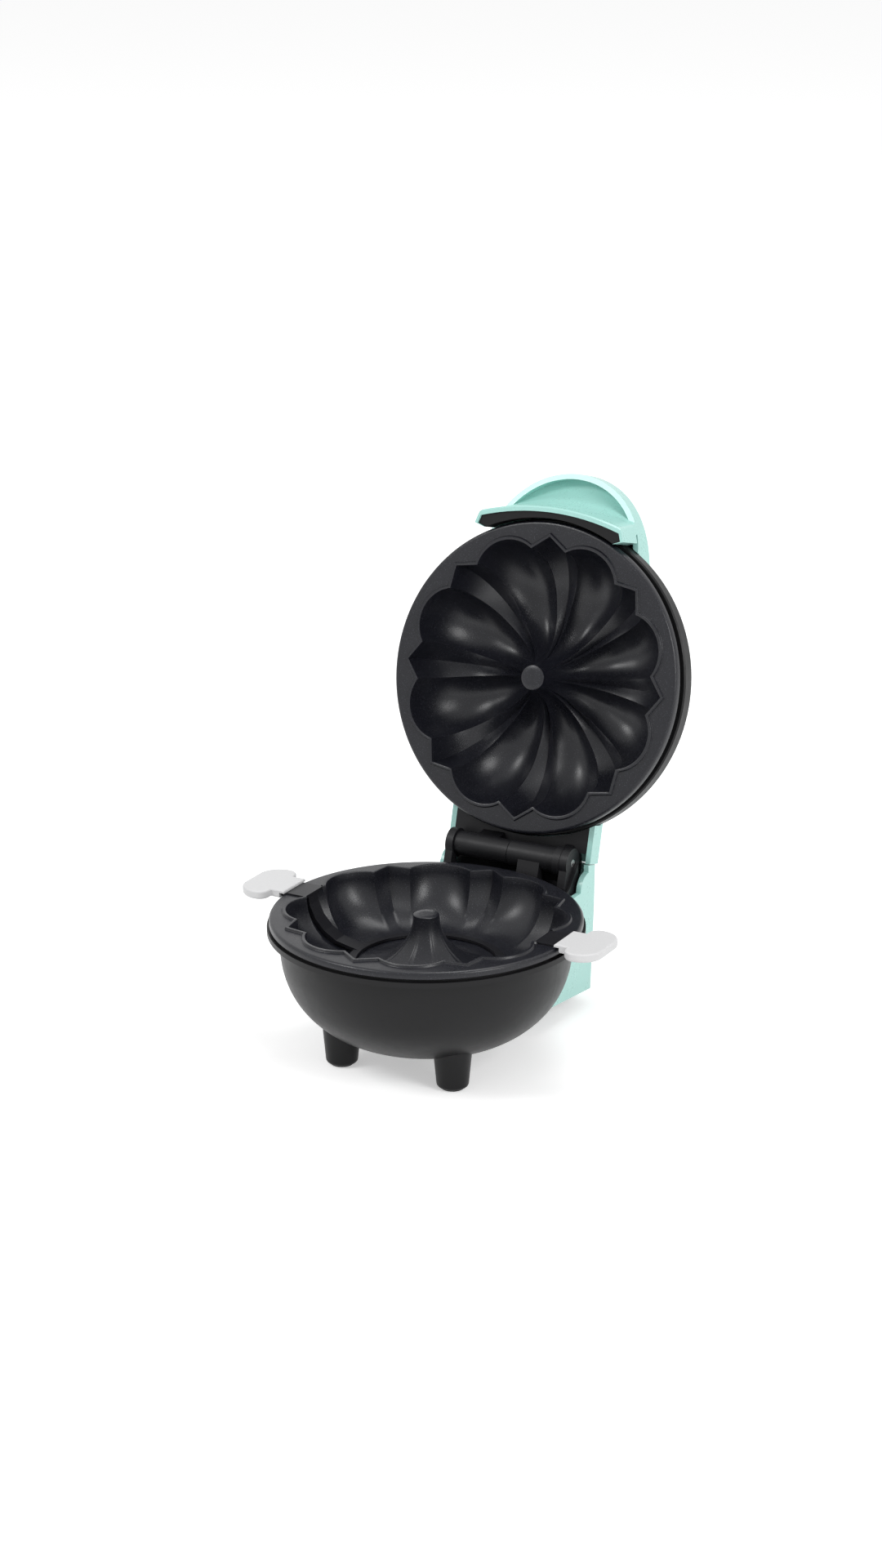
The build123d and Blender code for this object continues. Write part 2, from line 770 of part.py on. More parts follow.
with BuildPart() as upper_shield_screws:
    with BuildSketch(lid.offset(upper_shield_depth + sheet)):
        with Locations(*boss_points()):
            Circle(screw_head_r)
    extrude(amount=screw_head_height)
    with BuildSketch(lid.offset(upper_shield_depth + sheet)):
        with Locations(*boss_points()):
            Circle(screw_r)
    extrude(amount=-thread_in)
save(upper_shield_screws.part, "upper_shield_screws")

fuse_seat = Plane(lid_origin + lid_up * (upper_depth + plate_wall + fuse_r), x_dir=lid_rear,
                  z_dir=(1, 0, 0))
with BuildPart() as thermal_fuse:
    with BuildSketch(fuse_seat.offset(-fuse_length / 2)):
        Circle(fuse_r)
    extrude(amount=fuse_length)
save(thermal_fuse.part, "thermal_fuse")

# ring behind the upper plate
with BuildPart() as lid_ring:
    with BuildSketch(lid_radial):
        with BuildLine():
            Polyline(
                (ledge_in_r, edge_depth + seat_gap), (ledge_out_r, edge_depth + seat_gap),
                (ledge_out_r, ring_front), (ring_out_r - 0.6, ring_front),
                (ring_out_r, ring_front + 0.6), (ring_out_r, ring_back),
                (ring_flange_r, ring_back), (ring_flange_r, ring_back - 1.6),
                (ledge_in_r, ring_back - 1.6), close=True,
            )
        make_face()
    revolve(axis=lid_axis)
save(lid_ring.part, "lid_ring")

# shapes the lid's cover is made from
cover_base = ring_back + dome_seat
dome_edge_r = ring_out_r - 0.4
dome_rise = dome_top - cover_base
dome_ball = (dome_edge_r ** 2 + dome_rise ** 2) / (2 * dome_rise)
dome_centre = dome_top - dome_ball
inner_ball = dome_ball - dome_wall
inner_edge_r = sqrt(inner_ball ** 2 - (cover_base - dome_centre) ** 2)


def dome_cap(ball, edge_r):
    """Half section of a cap of a ball, standing on the ring's back face."""
    middle_r = edge_r * 0.55
    with BuildSketch(lid_radial) as half:
        with BuildLine():
            top = dome_centre + sqrt(ball * ball - dome_flat_r * dome_flat_r)
            ThreePointArc((edge_r, cover_base),
                          (middle_r, dome_centre + sqrt(ball * ball - middle_r * middle_r)),
                          (dome_flat_r, top))
            Polyline((dome_flat_r, top), (0, top), (0, cover_base), (edge_r, cover_base))
        make_face()
    return half.sketch


def hood_plan(inset):
    with BuildSketch(lid.offset(-8)) as plan:
        with Locations((0, -hood_centre)):
            Circle(hood_r - inset)
        with Locations((0, -(hood_centre + hood_back) / 2)):
            Rectangle(2 * (hood_r - inset), hood_centre - hood_back)
    return plan.sketch


def hood_barrel(inset):
    """Section whose turn about a low cross axis gives the hood's curved top."""
    centre = lid_origin + lid_rear * hood_arc_y + lid_up * hood_arc_h
    top = hood_arc_r - inset
    crown = hood_crown_r - inset
    side = top - crown + sqrt(crown ** 2 - hood_crown_half ** 2)
    with BuildSketch(Plane(centre, x_dir=(1, 0, 0), z_dir=lid_rear * -1)) as section:
        with BuildLine():
            ThreePointArc((-hood_crown_half, side), (0, top), (hood_crown_half, side))
            Polyline((hood_crown_half, side), (hood_crown_half, 150), (-hood_crown_half, 150),
                     (-hood_crown_half, side))
        make_face()
    return section.sketch, Axis(centre, (1, 0, 0))


def hood_form(inset):
    section, cross_axis = hood_barrel(inset)
    with BuildPart() as form:
        add(section)
        revolve(axis=cross_axis, revolution_arc=30)
        prism = extrude(hood_plan(inset), amount=70, mode=Mode.PRIVATE)
        add(prism, mode=Mode.INTERSECT)
    return form.part


hood_front = -hood_centre - hood_r
rim_meets = hood_front + (hood_front_rise - ring_front) / hood_slope
with BuildPart() as hood_solid:
    add(hood_form(0))
    crest = hood_solid.edges().filter_by(lambda e: lid.to_local_coords(e.center()).Z > 24
                                         and lid.to_local_coords(e.center()).Y < -hood_back - 1)
    fillet(crest, radius=hood_edge_r)

with BuildPart() as hood_block:
    add(hood_solid.part)
    with BuildSketch(lid_side):
        with BuildLine():
            Polyline((hood_front - 3, hood_front_rise + 3 * hood_slope), (rim_meets, ring_front),
                     (0, ring_front), (0, -20), (hood_front - 3, -20), close=True)
        make_face()
    extrude(amount=hood_r + 2, both=True, mode=Mode.SUBTRACT)

# brim below the finger pocket: a flat curve across the lid, with a lip at each end
brim_plane = Plane(lid_origin + lid_rear * brim_arc_back, x_dir=(1, 0, 0), z_dir=lid_rear * -1)
brim_axis = Axis(brim_plane.origin, lid_up)
brim_in = brim_arc_r - 12


def brim_sector(inset):
    """Outline seen along the lid's axis that cuts the brim's curve to its length."""
    tip, side = brim_tip_x - inset, brim_side_x - inset
    slope = (side - tip) / (brim_tip_y - brim_side_y)
    far = tip - 12 * slope
    with BuildSketch(lid.offset(brim_low - 1)) as outline:
        with BuildLine():
            Polyline((-far, -brim_tip_y - 12), (far, -brim_tip_y - 12), (side, -brim_side_y),
                     (brim_inner_x, -brim_inner_y), (-brim_inner_x, -brim_inner_y),
                     (-side, -brim_side_y), close=True)
        make_face()
    return outline.sketch


with BuildPart() as under_block:
    with BuildSketch(brim_plane):
        with BuildLine():
            outside = brim_arc_r - brim_wall
            Polyline((brim_in, brim_low + under_recess), (outside, brim_low + under_recess),
                     (outside, under_high), (brim_in, under_high), close=True)
        make_face()
    revolve(axis=brim_axis)
    extrude(brim_sector(brim_end), amount=brim_back - brim_low + 2, mode=Mode.INTERSECT)

with BuildPart() as brim:
    with BuildSketch(brim_plane):
        with BuildLine():
            Polyline((brim_in, brim_low), (brim_arc_r - brim_edge, brim_low),
                     (brim_arc_r, brim_low + brim_edge), (brim_crease_r, brim_back),
                     (brim_in, brim_back), close=True)
        make_face()
    revolve(axis=brim_axis)
    extrude(brim_sector(0), amount=brim_back - brim_low + 2, mode=Mode.INTERSECT)
    corners = brim.edges().filter_by(
        lambda e: e.length > 0.7 * (brim_back - brim_low)
        and abs(abs(e.center().X) - brim_tip_x) < 0.8
        and lid.to_local_coords(e.center()).Y < -brim_tip_y + 1)
    fillet(corners, radius=brim_corner_r)
    add(under_block.part, mode=Mode.SUBTRACT)
    add(under_block.part.moved(Location(lid_up * (-2 * under_recess))), mode=Mode.SUBTRACT)

# back wall and roof of the finger pocket
with BuildPart() as pocket:
    with BuildSketch(brim_plane):
        with BuildLine():
            crease = (brim_crease_r, brim_back)
            inner = (brim_arc_r - brim_wall, brim_back)
            scoop_mid = (crease[0] + pocket_mid[0], crease[1] + pocket_mid[1])
            scoop_top = (crease[0] + pocket_top[0], crease[1] + pocket_top[1])
            far = scoop_top[0] + 12
            ThreePointArc(crease, scoop_mid, scoop_top)
            Polyline(scoop_top, (far, scoop_top[1]), (far, scoop_top[1] + hood_wall),
                     (scoop_top[0] - 1, scoop_top[1] + hood_wall))
            ThreePointArc((scoop_top[0] - 1, scoop_top[1] + hood_wall),
                          (scoop_mid[0] - 1.6, scoop_mid[1] + 1.6), (inner[0], inner[1] + 1.5))
            Polyline((inner[0], inner[1] + 1.5), inner, crease)
        make_face()
    revolve(axis=brim_axis)
    add(hood_solid.part, mode=Mode.INTERSECT)

with BuildPart() as lid_cover:
    with BuildSketch(lid_side):
        with BuildLine():
            Polyline((45, arm_edge), (hinge_back, arm_edge), (hinge_back, arm_top), (45, arm_top),
                     close=True)
        make_face()
    extrude(amount=band_half, both=True)
    add(dome_cap(dome_ball, dome_edge_r))
    revolve(axis=lid_axis)
    add(hood_block.part)
    add(dome_cap(inner_ball, inner_edge_r))
    revolve(axis=lid_axis, mode=Mode.SUBTRACT)
    add(hood_form(hood_wall), mode=Mode.SUBTRACT)
    with BuildSketch(lid_side):
        with BuildLine():
            Polyline((40, arm_edge - 1), (hinge_back + 1, arm_edge - 1),
                     (hinge_back + 1, arm_top - arm_wall), (40, arm_top - arm_wall), close=True)
        make_face()
    extrude(amount=band_half - arm_wall, both=True, mode=Mode.SUBTRACT)
    add(brim.part)
    add(pocket.part)
    with BuildSketch(lid.offset(brim_low - 1)):
        Circle(ring_out_r + under_gap)
    extrude(amount=cover_base - brim_low + 1, mode=Mode.SUBTRACT)
    lens_h = dome_centre + sqrt(dome_ball ** 2 - lens_back ** 2 - lens_x ** 2)
    with BuildSketch(lid.offset(lens_h - 8)):
        with Locations((lens_x, lens_back), (-lens_x, lens_back)):
            Circle(lens_r + lens_clearance)
    extrude(amount=20, mode=Mode.SUBTRACT)
save(lid_cover.part, "lid_cover")

with BuildPart() as indicator_lenses:
    with BuildSketch(lid.offset(lens_h - dome_wall - holder_drop)):
        with Locations((lens_x, lens_back), (-lens_x, lens_back)):
            Circle(lens_r)
    extrude(amount=dome_wall + holder_drop + lens_proud)
save(indicator_lenses.part, "indicator_lenses")

with BuildPart() as indicator_holder:
    add(dome_cap(inner_ball, inner_edge_r))
    revolve(axis=lid_axis)
    with BuildSketch(lid.offset(lens_h - dome_wall - holder_drop - 1)):
        with Locations((0, lens_back)):
            Rectangle(4 * lens_x, 4 * lens_r)
    extrude(amount=20, mode=Mode.INTERSECT)
    add(indicator_lenses.part, mode=Mode.SUBTRACT)
save(indicator_holder.part, "indicator_holder")

with BuildPart() as handle_underside:
    add(under_block.part)
    with BuildSketch(lid.offset(brim_low - 1)):
        Circle(ring_out_r + under_gap)
    extrude(amount=cover_base - brim_low + 1, mode=Mode.SUBTRACT)
save(handle_underside.part, "handle_underside")

# inner cover of the arm: flat panel, then a narrower skirt around the hinge axis
skirt_in_r = skirt_r - panel_sheet
lid_across = Plane(lid_origin + lid_rear * hinge_back + lid_up * lid_hinge_h, x_dir=lid_rear,
                   z_dir=(1, 0, 0))
panel_rise = panel_low - lid_hinge_h
with BuildPart() as arm_inner_cover:
    with BuildSketch(lid_across):
        with BuildLine():
            Polyline((-panel_end, panel_rise), (-hinge_back + 55, panel_rise),
                     (-hinge_back + 55, panel_rise + panel_sheet),
                     (-panel_end, panel_rise + panel_sheet), close=True)
        make_face()
    extrude(amount=band_half - arm_wall, both=True)
    with BuildSketch(lid_across):
        with BuildLine():
            Polyline(polar(skirt_in_r, 90), (-panel_end, panel_rise),
                     (-panel_end, panel_rise + panel_sheet), polar(skirt_r, 90))
            ThreePointArc(polar(skirt_r, 90), polar(skirt_r, 45), polar(skirt_r, skirt_end))
            Line(polar(skirt_r, skirt_end), polar(skirt_in_r, skirt_end))
            ThreePointArc(polar(skirt_in_r, skirt_end), polar(skirt_in_r, 45),
                          polar(skirt_in_r, 90))
        make_face()
    extrude(amount=skirt_half, both=True)
    with BuildSketch(lid):
        Circle(ring_out_r + under_gap)
    extrude(amount=60, mode=Mode.SUBTRACT)
save(arm_inner_cover.part, "arm_inner_cover")

# knuckles on the lid: left half of the barrel and a narrow one at the right
with BuildPart() as lid_knuckles:
    for start, width, radius in (
        (-barrel_half, barrel_half - barrel_gap / 2, lid_barrel_r),
        (barrel_half - ear_width + barrel_gap / 2, ear_width - barrel_gap / 2, ear_r),
    ):
        with BuildSketch(lid_across.offset(start)):
            Circle(radius)
        extrude(amount=width)
        web = min(width, web_width)
        with BuildSketch(lid_across.offset(start + (width - web) / 2)):
            with BuildLine():
                Polyline((-lid_barrel_r + 0.6, 1), (-6.8, panel_rise), (-panel_end, panel_rise),
                         (1, 4), close=True)
            make_face()
        extrude(amount=web)
    with BuildSketch(lid_across.offset(-barrel_half - 1)):
        Circle(pin_r + pin_clearance)
    extrude(amount=2 * barrel_half + 2, mode=Mode.SUBTRACT)
save(lid_knuckles.part, "lid_knuckles")

# lifting strap: bars over the rim, walls down the cavity and a ring on its floor
strap_low = -slot_floor + strap_gap
wall_line = []
for level in levels:
    tip, valley, lobe = outer_points(level, lower_share)
    flat = (tip - valley) * strap_wall_half / (valley * sin(radians(valley_half_angle)))
    wall_line.append((tip - flat - strap_clear, -level * lower_depth + strap_clear))
wall_line[0] = (wall_line[0][0], strap_low + strap_thick)
wall_inside = [(x - strap_thick, z + strap_thick) for x, z in reversed(wall_line[1:])]
wall_inside.append((wall_line[0][0] - strap_thick, strap_low + strap_thick))
with BuildPart() as lifting_strap:
    for side in (1, -1):
        with BuildSketch(base_radial):
            with BuildLine():
                Polyline(*[(side * x, z) for x, z in wall_line + wall_inside], close=True)
            make_face()
        extrude(amount=strap_wall_half, both=True)
        with BuildSketch(base.offset(strap_low)):
            with Locations((side * (strap_in + tab_in + strap_in_tab) / 2, 0)):
                Rectangle(tab_in + strap_in_tab - strap_in, 2 * strap_half)
        extrude(amount=strap_thick)
    with BuildSketch(base.offset(-lower_depth + strap_clear)):
        Circle(lifter_ring_out)
        Circle(lifter_ring_in, mode=Mode.SUBTRACT)
    extrude(amount=strap_thick)
save(lifting_strap.part, "lifting_strap")

# heat-resistant tabs moulded on the strap's ends
lobe_in = tab_in + tab_neck
tab_seat = strap_low + strap_thick
for side, label in ((-1, "left_tab"), (1, "right_tab")):
    with BuildPart() as tab:
        with BuildSketch(base.offset(tab_rise - tab_thick)) as outline:
            with Locations((side * (lobe_in + tab_out) / 2, 0)):
                Rectangle(tab_out - lobe_in, 2 * tab_half)
            ends = outline.vertices().group_by(Axis.X)
            fillet(ends[-1 if side > 0 else 0], radius=tab_outer_r)
            fillet(outline.vertices().group_by(Axis.X)[0 if side > 0 else -1], radius=tab_inner_r)
            with Locations((side * (tab_in + lobe_in + tab_inner_r) / 2, 0)):
                Rectangle(tab_neck + tab_inner_r, 2 * tab_neck_half)
        extrude(amount=tab_thick)
        fillet(tab.edges().group_by(Axis.Z)[0], radius=tab_round)
        fillet(tab.edges().group_by(Axis.Z)[-1], radius=0.6 * tab_round)
        with BuildSketch(base.offset(tab_rise - tab_thick)):
            Circle(rim_r + tab_clear)
        extrude(amount=tab_seat - tab_rise + tab_thick, mode=Mode.SUBTRACT)
        add(lifting_strap.part, mode=Mode.SUBTRACT)
    save(tab.part, label)
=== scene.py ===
import math

import bpy
from mathutils import Matrix, Vector


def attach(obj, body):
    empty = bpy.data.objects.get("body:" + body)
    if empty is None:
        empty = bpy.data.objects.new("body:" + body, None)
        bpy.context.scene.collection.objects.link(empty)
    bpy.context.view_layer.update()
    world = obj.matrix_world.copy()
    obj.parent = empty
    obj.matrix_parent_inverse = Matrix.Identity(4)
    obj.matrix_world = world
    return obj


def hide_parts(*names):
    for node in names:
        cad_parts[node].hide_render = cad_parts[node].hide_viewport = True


# A mini bundt cake maker, opened. Metres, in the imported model's frame.
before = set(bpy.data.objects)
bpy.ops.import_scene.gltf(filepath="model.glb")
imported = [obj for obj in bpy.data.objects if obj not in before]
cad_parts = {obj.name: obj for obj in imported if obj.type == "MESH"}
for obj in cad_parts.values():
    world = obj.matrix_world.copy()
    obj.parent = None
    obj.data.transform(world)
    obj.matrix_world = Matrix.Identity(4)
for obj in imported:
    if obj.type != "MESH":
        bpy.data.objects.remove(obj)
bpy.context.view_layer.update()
bpy.ops.object.select_all(action="DESELECT")
print("frame loaded")

# where the plates' common axis meets the parting plane, and how the lid hangs
places = {
    "baseOrigin": Vector((0, -0.0404, 0.0615)),
    "hingeBack": 0.0739,
    "hingeRise": 0.0025,
    "closedGap": 0.0003,
    "openAngle": 104.9,
}


def lidFrame():
    swing = math.radians(places["openAngle"])
    rear = Vector((0, math.cos(swing), -math.sin(swing)))
    up = Vector((0, math.sin(swing), math.cos(swing)))
    hinge = places["baseOrigin"] + Vector((0, places["hingeBack"], places["hingeRise"]))
    origin = hinge - rear * places["hingeBack"]
    origin -= up * (places["hingeRise"] - places["closedGap"])
    turned = Matrix((Vector((1, 0, 0)), rear, up)).transposed().to_4x4()
    turned.translation = origin
    return turned


lidTurn = lidFrame()

# camera at the photograph's angle
viewpoint = {
    "turn": 28.8,
    "rise": 18.7,
    "distance": 1.4,
    "across": 0.0059,
    "up": 0.0517,
    "lens": 79.95,
    "sensor": 36,
    "nearest": 0.05,
}


def addCamera():
    turn = math.radians(viewpoint["turn"])
    rise = math.radians(viewpoint["rise"])
    back = Vector((math.sin(turn) * math.cos(rise), -math.cos(turn) * math.cos(rise),
                   math.sin(rise)))
    right = Vector((math.cos(turn), math.sin(turn), 0))
    up = back.cross(right)
    bpy.ops.object.camera_add()
    camera = bpy.context.object
    camera.name = "photoCamera"
    camera.data.lens = viewpoint["lens"]
    camera.data.sensor_width = viewpoint["sensor"]
    camera.data.clip_start = viewpoint["nearest"]
    turned = Matrix((right, up, back)).transposed().to_4x4()
    turned.translation = (places["baseOrigin"] + back * viewpoint["distance"]
                          + right * viewpoint["across"] + up * viewpoint["up"])
    camera.matrix_world = turned
    bpy.context.scene.camera = camera


addCamera()
print("camera placed")

# studio: softboxes, a pale room and a white floor
softboxes = [
    {"name": "keySoftbox", "place": (-1.1, -1.3, 1.7), "size": (0.7, 0.7), "power": 17},
    {"name": "sideSoftbox", "place": (1.6, -0.5, 1.0), "size": (0.6, 0.9), "power": 13},
    {"name": "topSoftbox", "place": (0.1, 0.5, 2.0), "size": (0.9, 0.7), "power": 11},
]
room = {
    "lampAim": (0, 0, 0.1),
    "lightStrength": 0.55,
    "seenStrength": 1,
    "white": (1, 1, 1, 1),
    "floorColour": (0.93, 0.93, 0.93, 1),
    "floorRoughness": 0.9,
    "floorGlow": 0.42,
    "floorSize": 24,
}


def addSoftboxes():
    for box in softboxes:
        bpy.ops.object.light_add(type="AREA", location=box["place"])
        lamp = bpy.context.object
        lamp.name = box["name"]
        lamp.data.shape = "RECTANGLE"
        lamp.data.size = box["size"][0]
        lamp.data.size_y = box["size"][1]
        lamp.data.energy = box["power"]
        aim = Vector(room["lampAim"]) - lamp.location
        lamp.rotation_euler = aim.to_track_quat("-Z", "Y").to_euler()


def addNode(tree, kind, **settings):
    node = tree.nodes.new(kind)
    for key, value in settings.items():
        setattr(node, key, value)
    return node


# a number or colour is set on the socket, an output is linked to it
def feed(tree, value, socket):
    if isinstance(value, (int, float, tuple)):
        socket.default_value = value
    else:
        tree.links.new(value, socket)


def calculate(tree, operation, *values):
    node = addNode(tree, "ShaderNodeMath", operation=operation)
    for socket, value in zip(node.inputs, values):
        feed(tree, value, socket)
    return node.outputs[0]


# 1 for the rays that show the background: from the camera, in gloss and through glass
def backgroundRays(tree):
    path = addNode(tree, "ShaderNodeLightPath")
    shown = path.outputs["Is Camera Ray"]
    for label in ("Is Glossy Ray", "Is Transmission Ray"):
        shown = calculate(tree, "MAXIMUM", shown, path.outputs[label])
    return shown


def addRoom():
    world = bpy.data.worlds.new("paleRoom")
    bpy.context.scene.world = world
    world.use_nodes = True
    tree = world.node_tree
    lit = tree.nodes["Background"]
    lit.inputs["Strength"].default_value = room["lightStrength"]
    lit.inputs["Color"].default_value = room["white"]
    seen = addNode(tree, "ShaderNodeBackground")
    seen.inputs["Color"].default_value = room["white"]
    seen.inputs["Strength"].default_value = room["seenStrength"]
    mix = addNode(tree, "ShaderNodeMixShader")
    tree.links.new(backgroundRays(tree), mix.inputs[0])
    tree.links.new(lit.outputs[0], mix.inputs[1])
    tree.links.new(seen.outputs[0], mix.inputs[2])
    tree.links.new(mix.outputs[0], tree.nodes["World Output"].inputs["Surface"])


def addFloor():
    bpy.ops.mesh.primitive_plane_add(size=room["floorSize"])
    floor = bpy.context.object
    floor.name = "studioFloor"
    material = bpy.data.materials.new("paleFloor")
    material.use_nodes = True
    tree = material.node_tree
    shader = tree.nodes["Principled BSDF"]
    shader.inputs["Base Color"].default_value = room["floorColour"]
    shader.inputs["Roughness"].default_value = room["floorRoughness"]
    shader.inputs["Specular IOR Level"].default_value = 0
    # where it is seen the floor is a little brighter, so that it runs into the white behind
    glow = addNode(tree, "ShaderNodeEmission")
    both = addNode(tree, "ShaderNodeAddShader")
    amount = calculate(tree, "MULTIPLY", backgroundRays(tree), room["floorGlow"])
    tree.links.new(amount, glow.inputs["Strength"])
    tree.links.new(shader.outputs[0], both.inputs[0])
    tree.links.new(glow.outputs[0], both.inputs[1])
    tree.links.new(both.outputs[0], tree.nodes["Material Output"].inputs["Surface"])
    floor.data.materials.append(material)


addSoftboxes()
addRoom()
addFloor()
bpy.context.scene.view_settings.view_transform = "Standard"
print("studio lit")

# finishes: shared effects are node groups, each shader stays in its material
socketKinds = {
    "Coordinates": "NodeSocketVector",
    "Colour": "NodeSocketColor",
    "Fleck Colour": "NodeSocketColor",
    "Stain Colour": "NodeSocketColor",
}


def newGroup(name, inputs):
    group = bpy.data.node_groups.new(name, "ShaderNodeTree")
    for way, labels in (("INPUT", inputs), ("OUTPUT", ("Colour", "Roughness", "Height"))):
        for label in labels:
            kind = socketKinds.get(label, "NodeSocketFloat")
            group.interface.new_socket(label, in_out=way, socket_type=kind)
    return group, group.nodes.new("NodeGroupInput"), group.nodes.new("NodeGroupOutput")


def ramp(tree, value, low, high, outLow=0.0, outHigh=1.0):
    node = addNode(tree, "ShaderNodeMapRange", clamp=True)
    for socket, number in zip(node.inputs, (value, low, high, outLow, outHigh)):
        feed(tree, number, socket)
    return node.outputs[0]


def blendColour(tree, share, first, second, how="MIX"):
    node = addNode(tree, "ShaderNodeMix", data_type="RGBA", blend_type=how)
    colourSockets = (node.inputs[0], node.inputs[6], node.inputs[7])
    for socket, value in zip(colourSockets, (share, first, second)):
        feed(tree, value, socket)
    return node.outputs[2]


def noise(tree, coordinates, scale, detail, roughness):
    node = addNode(tree, "ShaderNodeTexNoise")
    feed(tree, coordinates, node.inputs["Vector"])
    feed(tree, scale, node.inputs["Scale"])
    feed(tree, detail, node.inputs["Detail"])
    feed(tree, roughness, node.inputs["Roughness"])
    return node.outputs["Fac"]


# every noise is given its scale, detail and roughness
mouldedGrain = {
    "fine": (3.0, 0.6),            # after the finish's own grain size
    "flow": (38.0, 4.0, 0.55),     # slow drift of the moulding
    "handled": (140.0, 5.0, 0.7),  # faint marks of handling
    "paler": (1.12, 1.12, 1.12, 1),
    "darker": (0, 0, 0, 1),
    "speckRange": (0.52, 0.72, 0.0, 0.5),
    "handledShare": 0.6,
    "fineShare": 0.4,
    "markRange": (0.3, 0.7),
}


def makeMouldedGrain():
    group, start, end = newGroup("mouldedGrain", (
        "Coordinates", "Colour", "Grain Size", "Shade Change", "Smooth", "Rough"))
    place = start.outputs["Coordinates"]
    colour = start.outputs["Colour"]
    fine = noise(group, place, start.outputs["Grain Size"], *mouldedGrain["fine"])
    flow = noise(group, place, *mouldedGrain["flow"])
    handled = noise(group, place, *mouldedGrain["handled"])
    share = calculate(group, "MULTIPLY", flow, start.outputs["Shade Change"])
    paler = blendColour(group, 1.0, colour, mouldedGrain["paler"], "MULTIPLY")
    darker = blendColour(group, share, colour, mouldedGrain["darker"])
    speck = ramp(group, fine, *mouldedGrain["speckRange"])
    group.links.new(blendColour(group, speck, darker, paler), end.inputs["Colour"])
    marks = calculate(group, "ADD",
                      calculate(group, "MULTIPLY", handled, mouldedGrain["handledShare"]),
                      calculate(group, "MULTIPLY", fine, mouldedGrain["fineShare"]))
    gloss = ramp(group, marks, *mouldedGrain["markRange"], start.outputs["Smooth"],
                 start.outputs["Rough"])
    group.links.new(gloss, end.inputs["Roughness"])
    group.links.new(fine, end.inputs["Height"])
    return group


coatingFlecks = {
    "cellScale": 1500.0,
    "fine": (2600.0, 2.0, 0.6),
    "cloud": (60.0, 4.0, 0.6),
    "dotRange": (0.34, 0.1),
    "chosenRange": (0.45, 0.62),
    "tint": (0.0, 0.0, 0.004, 1),
    "tintShare": 0.35,
    "cloudShare": 0.5,
    "fineShare": 0.5,
    "unevenRange": (0.35, 0.65),
    "dotHeight": 0.4,
}


def makeCoatingFlecks():
    group, start, end = newGroup("coatingFlecks", (
        "Coordinates", "Colour", "Fleck Colour", "Fleck Share", "Smooth", "Rough"))
    place = start.outputs["Coordinates"]
    cells = addNode(group, "ShaderNodeTexVoronoi", feature="F1")
    cells.inputs["Scale"].default_value = coatingFlecks["cellScale"]
    group.links.new(place, cells.inputs["Vector"])
    fine = noise(group, place, *coatingFlecks["fine"])
    cloud = noise(group, place, *coatingFlecks["cloud"])
    dots = ramp(group, cells.outputs["Distance"], *coatingFlecks["dotRange"])
    chosen = calculate(group, "MULTIPLY", dots, ramp(group, fine, *coatingFlecks["chosenRange"]))
    share = calculate(group, "MULTIPLY", chosen, start.outputs["Fleck Share"])
    tint = calculate(group, "MULTIPLY", cloud, coatingFlecks["tintShare"])
    tinted = blendColour(group, tint, start.outputs["Colour"], coatingFlecks["tint"])
    group.links.new(blendColour(group, share, tinted, start.outputs["Fleck Colour"]),
                    end.inputs["Colour"])
    uneven = calculate(group, "ADD",
                       calculate(group, "MULTIPLY", cloud, coatingFlecks["cloudShare"]),
                       calculate(group, "MULTIPLY", fine, coatingFlecks["fineShare"]))
    gloss = ramp(group, uneven, *coatingFlecks["unevenRange"], start.outputs["Smooth"],
                 start.outputs["Rough"])
    group.links.new(gloss, end.inputs["Roughness"])
    raised = calculate(group, "MULTIPLY", dots, coatingFlecks["dotHeight"])
    group.links.new(calculate(group, "ADD", fine, raised), end.inputs["Height"])
    return group


rolledMetal = {
    "stretch": (60, 2400, 2400),
    "lines": (1.0, 3.0, 0.6),
    "cloud": (90.0, 4.0, 0.6),
    "stainRange": (0.45, 0.7),
    "lineRange": (0.3, 0.7),
}


def makeRolledMetal():
    group, start, end = newGroup("rolledMetal", (
        "Coordinates", "Colour", "Stain Colour", "Stain", "Smooth", "Rough"))
    place = start.outputs["Coordinates"]
    stretch = addNode(group, "ShaderNodeMapping")
    stretch.inputs["Scale"].default_value = rolledMetal["stretch"]
    group.links.new(place, stretch.inputs["Vector"])
    lines = noise(group, stretch.outputs["Vector"], *rolledMetal["lines"])
    cloud = noise(group, place, *rolledMetal["cloud"])
    stained = ramp(group, cloud, *rolledMetal["stainRange"])
    share = calculate(group, "MULTIPLY", stained, start.outputs["Stain"])
    group.links.new(blendColour(group, share, start.outputs["Colour"],
                                start.outputs["Stain Colour"]), end.inputs["Colour"])
    gloss = ramp(group, lines, *rolledMetal["lineRange"], start.outputs["Smooth"],
                 start.outputs["Rough"])
    group.links.new(gloss, end.inputs["Roughness"])
    group.links.new(lines, end.inputs["Height"])
    return group


effects = {
    "grain": makeMouldedGrain(),
    "flecks": makeCoatingFlecks(),
    "metal": makeRolledMetal(),
}


def makeFinish(name, effect, values, shader, bump):
    material = bpy.data.materials.new(name)
    material.use_nodes = True
    tree = material.node_tree
    principled = tree.nodes["Principled BSDF"]
    for label, value in shader.items():
        principled.inputs[label].default_value = value
    place = addNode(tree, "ShaderNodeTexCoord")
    node = addNode(tree, "ShaderNodeGroup", node_tree=effects[effect])
    for label, value in values.items():
        node.inputs[label].default_value = value
    tree.links.new(place.outputs["Object"], node.inputs["Coordinates"])
    tree.links.new(node.outputs["Colour"], principled.inputs["Base Color"])
    tree.links.new(node.outputs["Roughness"], principled.inputs["Roughness"])
    relief = addNode(tree, "ShaderNodeBump")
    relief.inputs["Strength"].default_value, relief.inputs["Distance"].default_value = bump
    tree.links.new(node.outputs["Height"], relief.inputs["Height"])
    tree.links.new(relief.outputs["Normal"], principled.inputs["Normal"])
    return material


